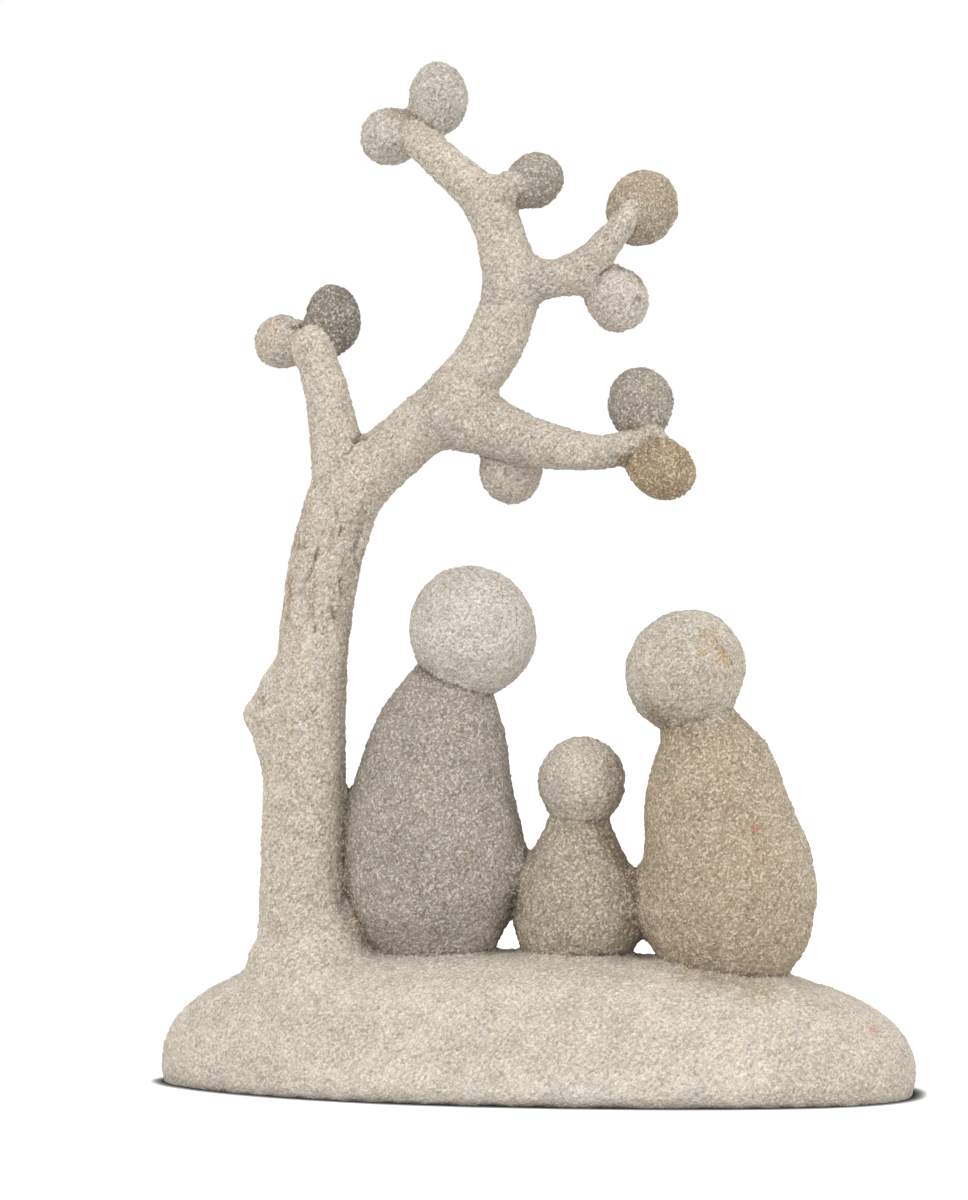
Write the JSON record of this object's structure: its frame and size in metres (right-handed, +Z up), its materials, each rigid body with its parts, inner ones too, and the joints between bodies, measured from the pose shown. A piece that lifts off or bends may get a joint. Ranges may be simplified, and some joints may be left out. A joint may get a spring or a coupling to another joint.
{
  "type": "family group sculpture",
  "caption": "Cast crushed-stone sculpture of a family of faceless pebble figures on a rounded base, under a leaning tree with pebble leaves.",
  "frame": {"origin": "on the flat underside, at the middle of the base's box", "axes": "+Z up, +X along the base to the viewer's right, +Y from the viewer to the back"},
  "size_m": [0.2543, 0.0919, 0.3433],
  "materials": {
    "cast_stone": "coarse matt crushed stone: pale sand colour, one body and three pebbles tinted grey, one body and two pebbles tan, the child brown"
  },
  "bodies": {
    "root": {"family_group": "cast_stone"}
  },
  "joints": []
}
